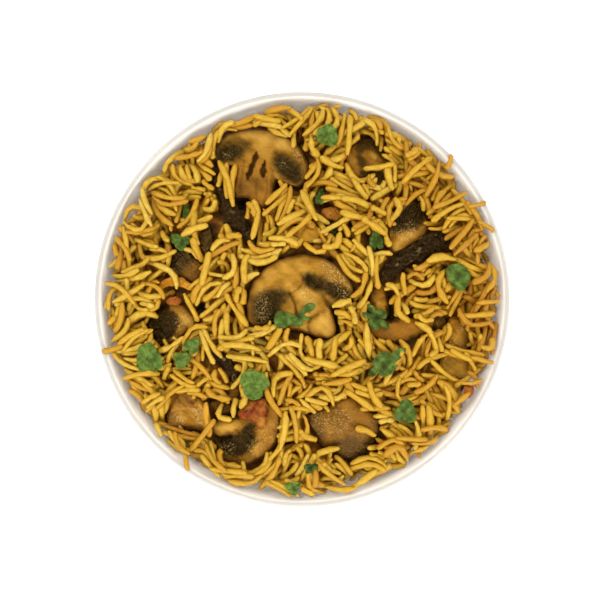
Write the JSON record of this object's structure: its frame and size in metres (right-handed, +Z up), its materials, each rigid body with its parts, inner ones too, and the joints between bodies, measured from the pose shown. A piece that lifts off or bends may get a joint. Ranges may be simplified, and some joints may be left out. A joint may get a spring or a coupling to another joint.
{
  "type": "bowl of mushroom biryani",
  "caption": "Filled white bowl: a heap of yellow long-grain rice with mushroom slices, softened onion, tomato and coriander leaves lying in and on it.",
  "frame": {"origin": "middle of the bowl's foot, on the surface that it stands on", "axes": "+Z up out of the bowl's mouth; +X and +Y are the right and the far side of the bowl as the picture looks down on it"},
  "size_m": [0.16, 0.16, 0.0701],
  "materials": {
    "porcelain": "white glazed porcelain, smooth and glossy",
    "coriander": "fresh coriander leaf, thin and slightly waxy",
    "mushroom_flesh": "cooked mushroom flesh with dark gills, moist",
    "mushroom_skin": "cooked mushroom cap skin, brown and glossy",
    "onion": "softened onion, amber, translucent and glossy",
    "rice": "cooked long-grain rice, yellow with turmeric, slightly oily",
    "tomato": "cooked tomato, soft and wet",
    "wilted_herb": "herb leaves cooked dark and limp"
  },
  "bodies": {
    "root": {"bowl": "porcelain", "coriander_far": "coriander", "coriander_left": "coriander", "coriander_left_pair_a": "coriander", "coriander_left_pair_b": "coriander", "coriander_middle": "coriander", "coriander_near": "coriander", "coriander_near_dark": "coriander", "coriander_near_middle": "coriander", "coriander_near_right": "coriander", "coriander_right": "coriander", "coriander_right_low": "coriander", "coriander_right_middle": "coriander", "coriander_stem_left": "coriander", "coriander_under_back": "coriander", "coriander_under_far": "coriander", "coriander_under_left": "coriander", "coriander_under_middle": "coriander", "coriander_under_right": "coriander", "mushroom_back": "mushroom_flesh", "mushroom_cap_left": "mushroom_skin", "mushroom_cap_near": "mushroom_skin", "mushroom_far": "mushroom_flesh", "mushroom_far_right": "mushroom_flesh", "mushroom_left": "mushroom_flesh", "mushroom_middle": "mushroom_flesh", "mushroom_near_left": "mushroom_flesh", "mushroom_right": "mushroom_flesh", "mushroom_scrap_far": "mushroom_skin", "mushroom_scrap_left": "mushroom_skin", "mushroom_scrap_low": "mushroom_skin", "mushroom_scrap_near": "mushroom_skin", "mushroom_scrap_right": "mushroom_skin", "onion_back": "onion", "onion_near_left": "onion", "onion_petal": "onion", "onion_right": "onion", "onion_right_low": "onion", "onion_strip": "onion", "rice": "rice", "tomato_back": "tomato", "tomato_left": "tomato", "tomato_near": "tomato", "tomato_right": "tomato", "wilted_far_left": "wilted_herb", "wilted_left": "wilted_herb", "wilted_right": "wilted_herb"}
  },
  "joints": []
}
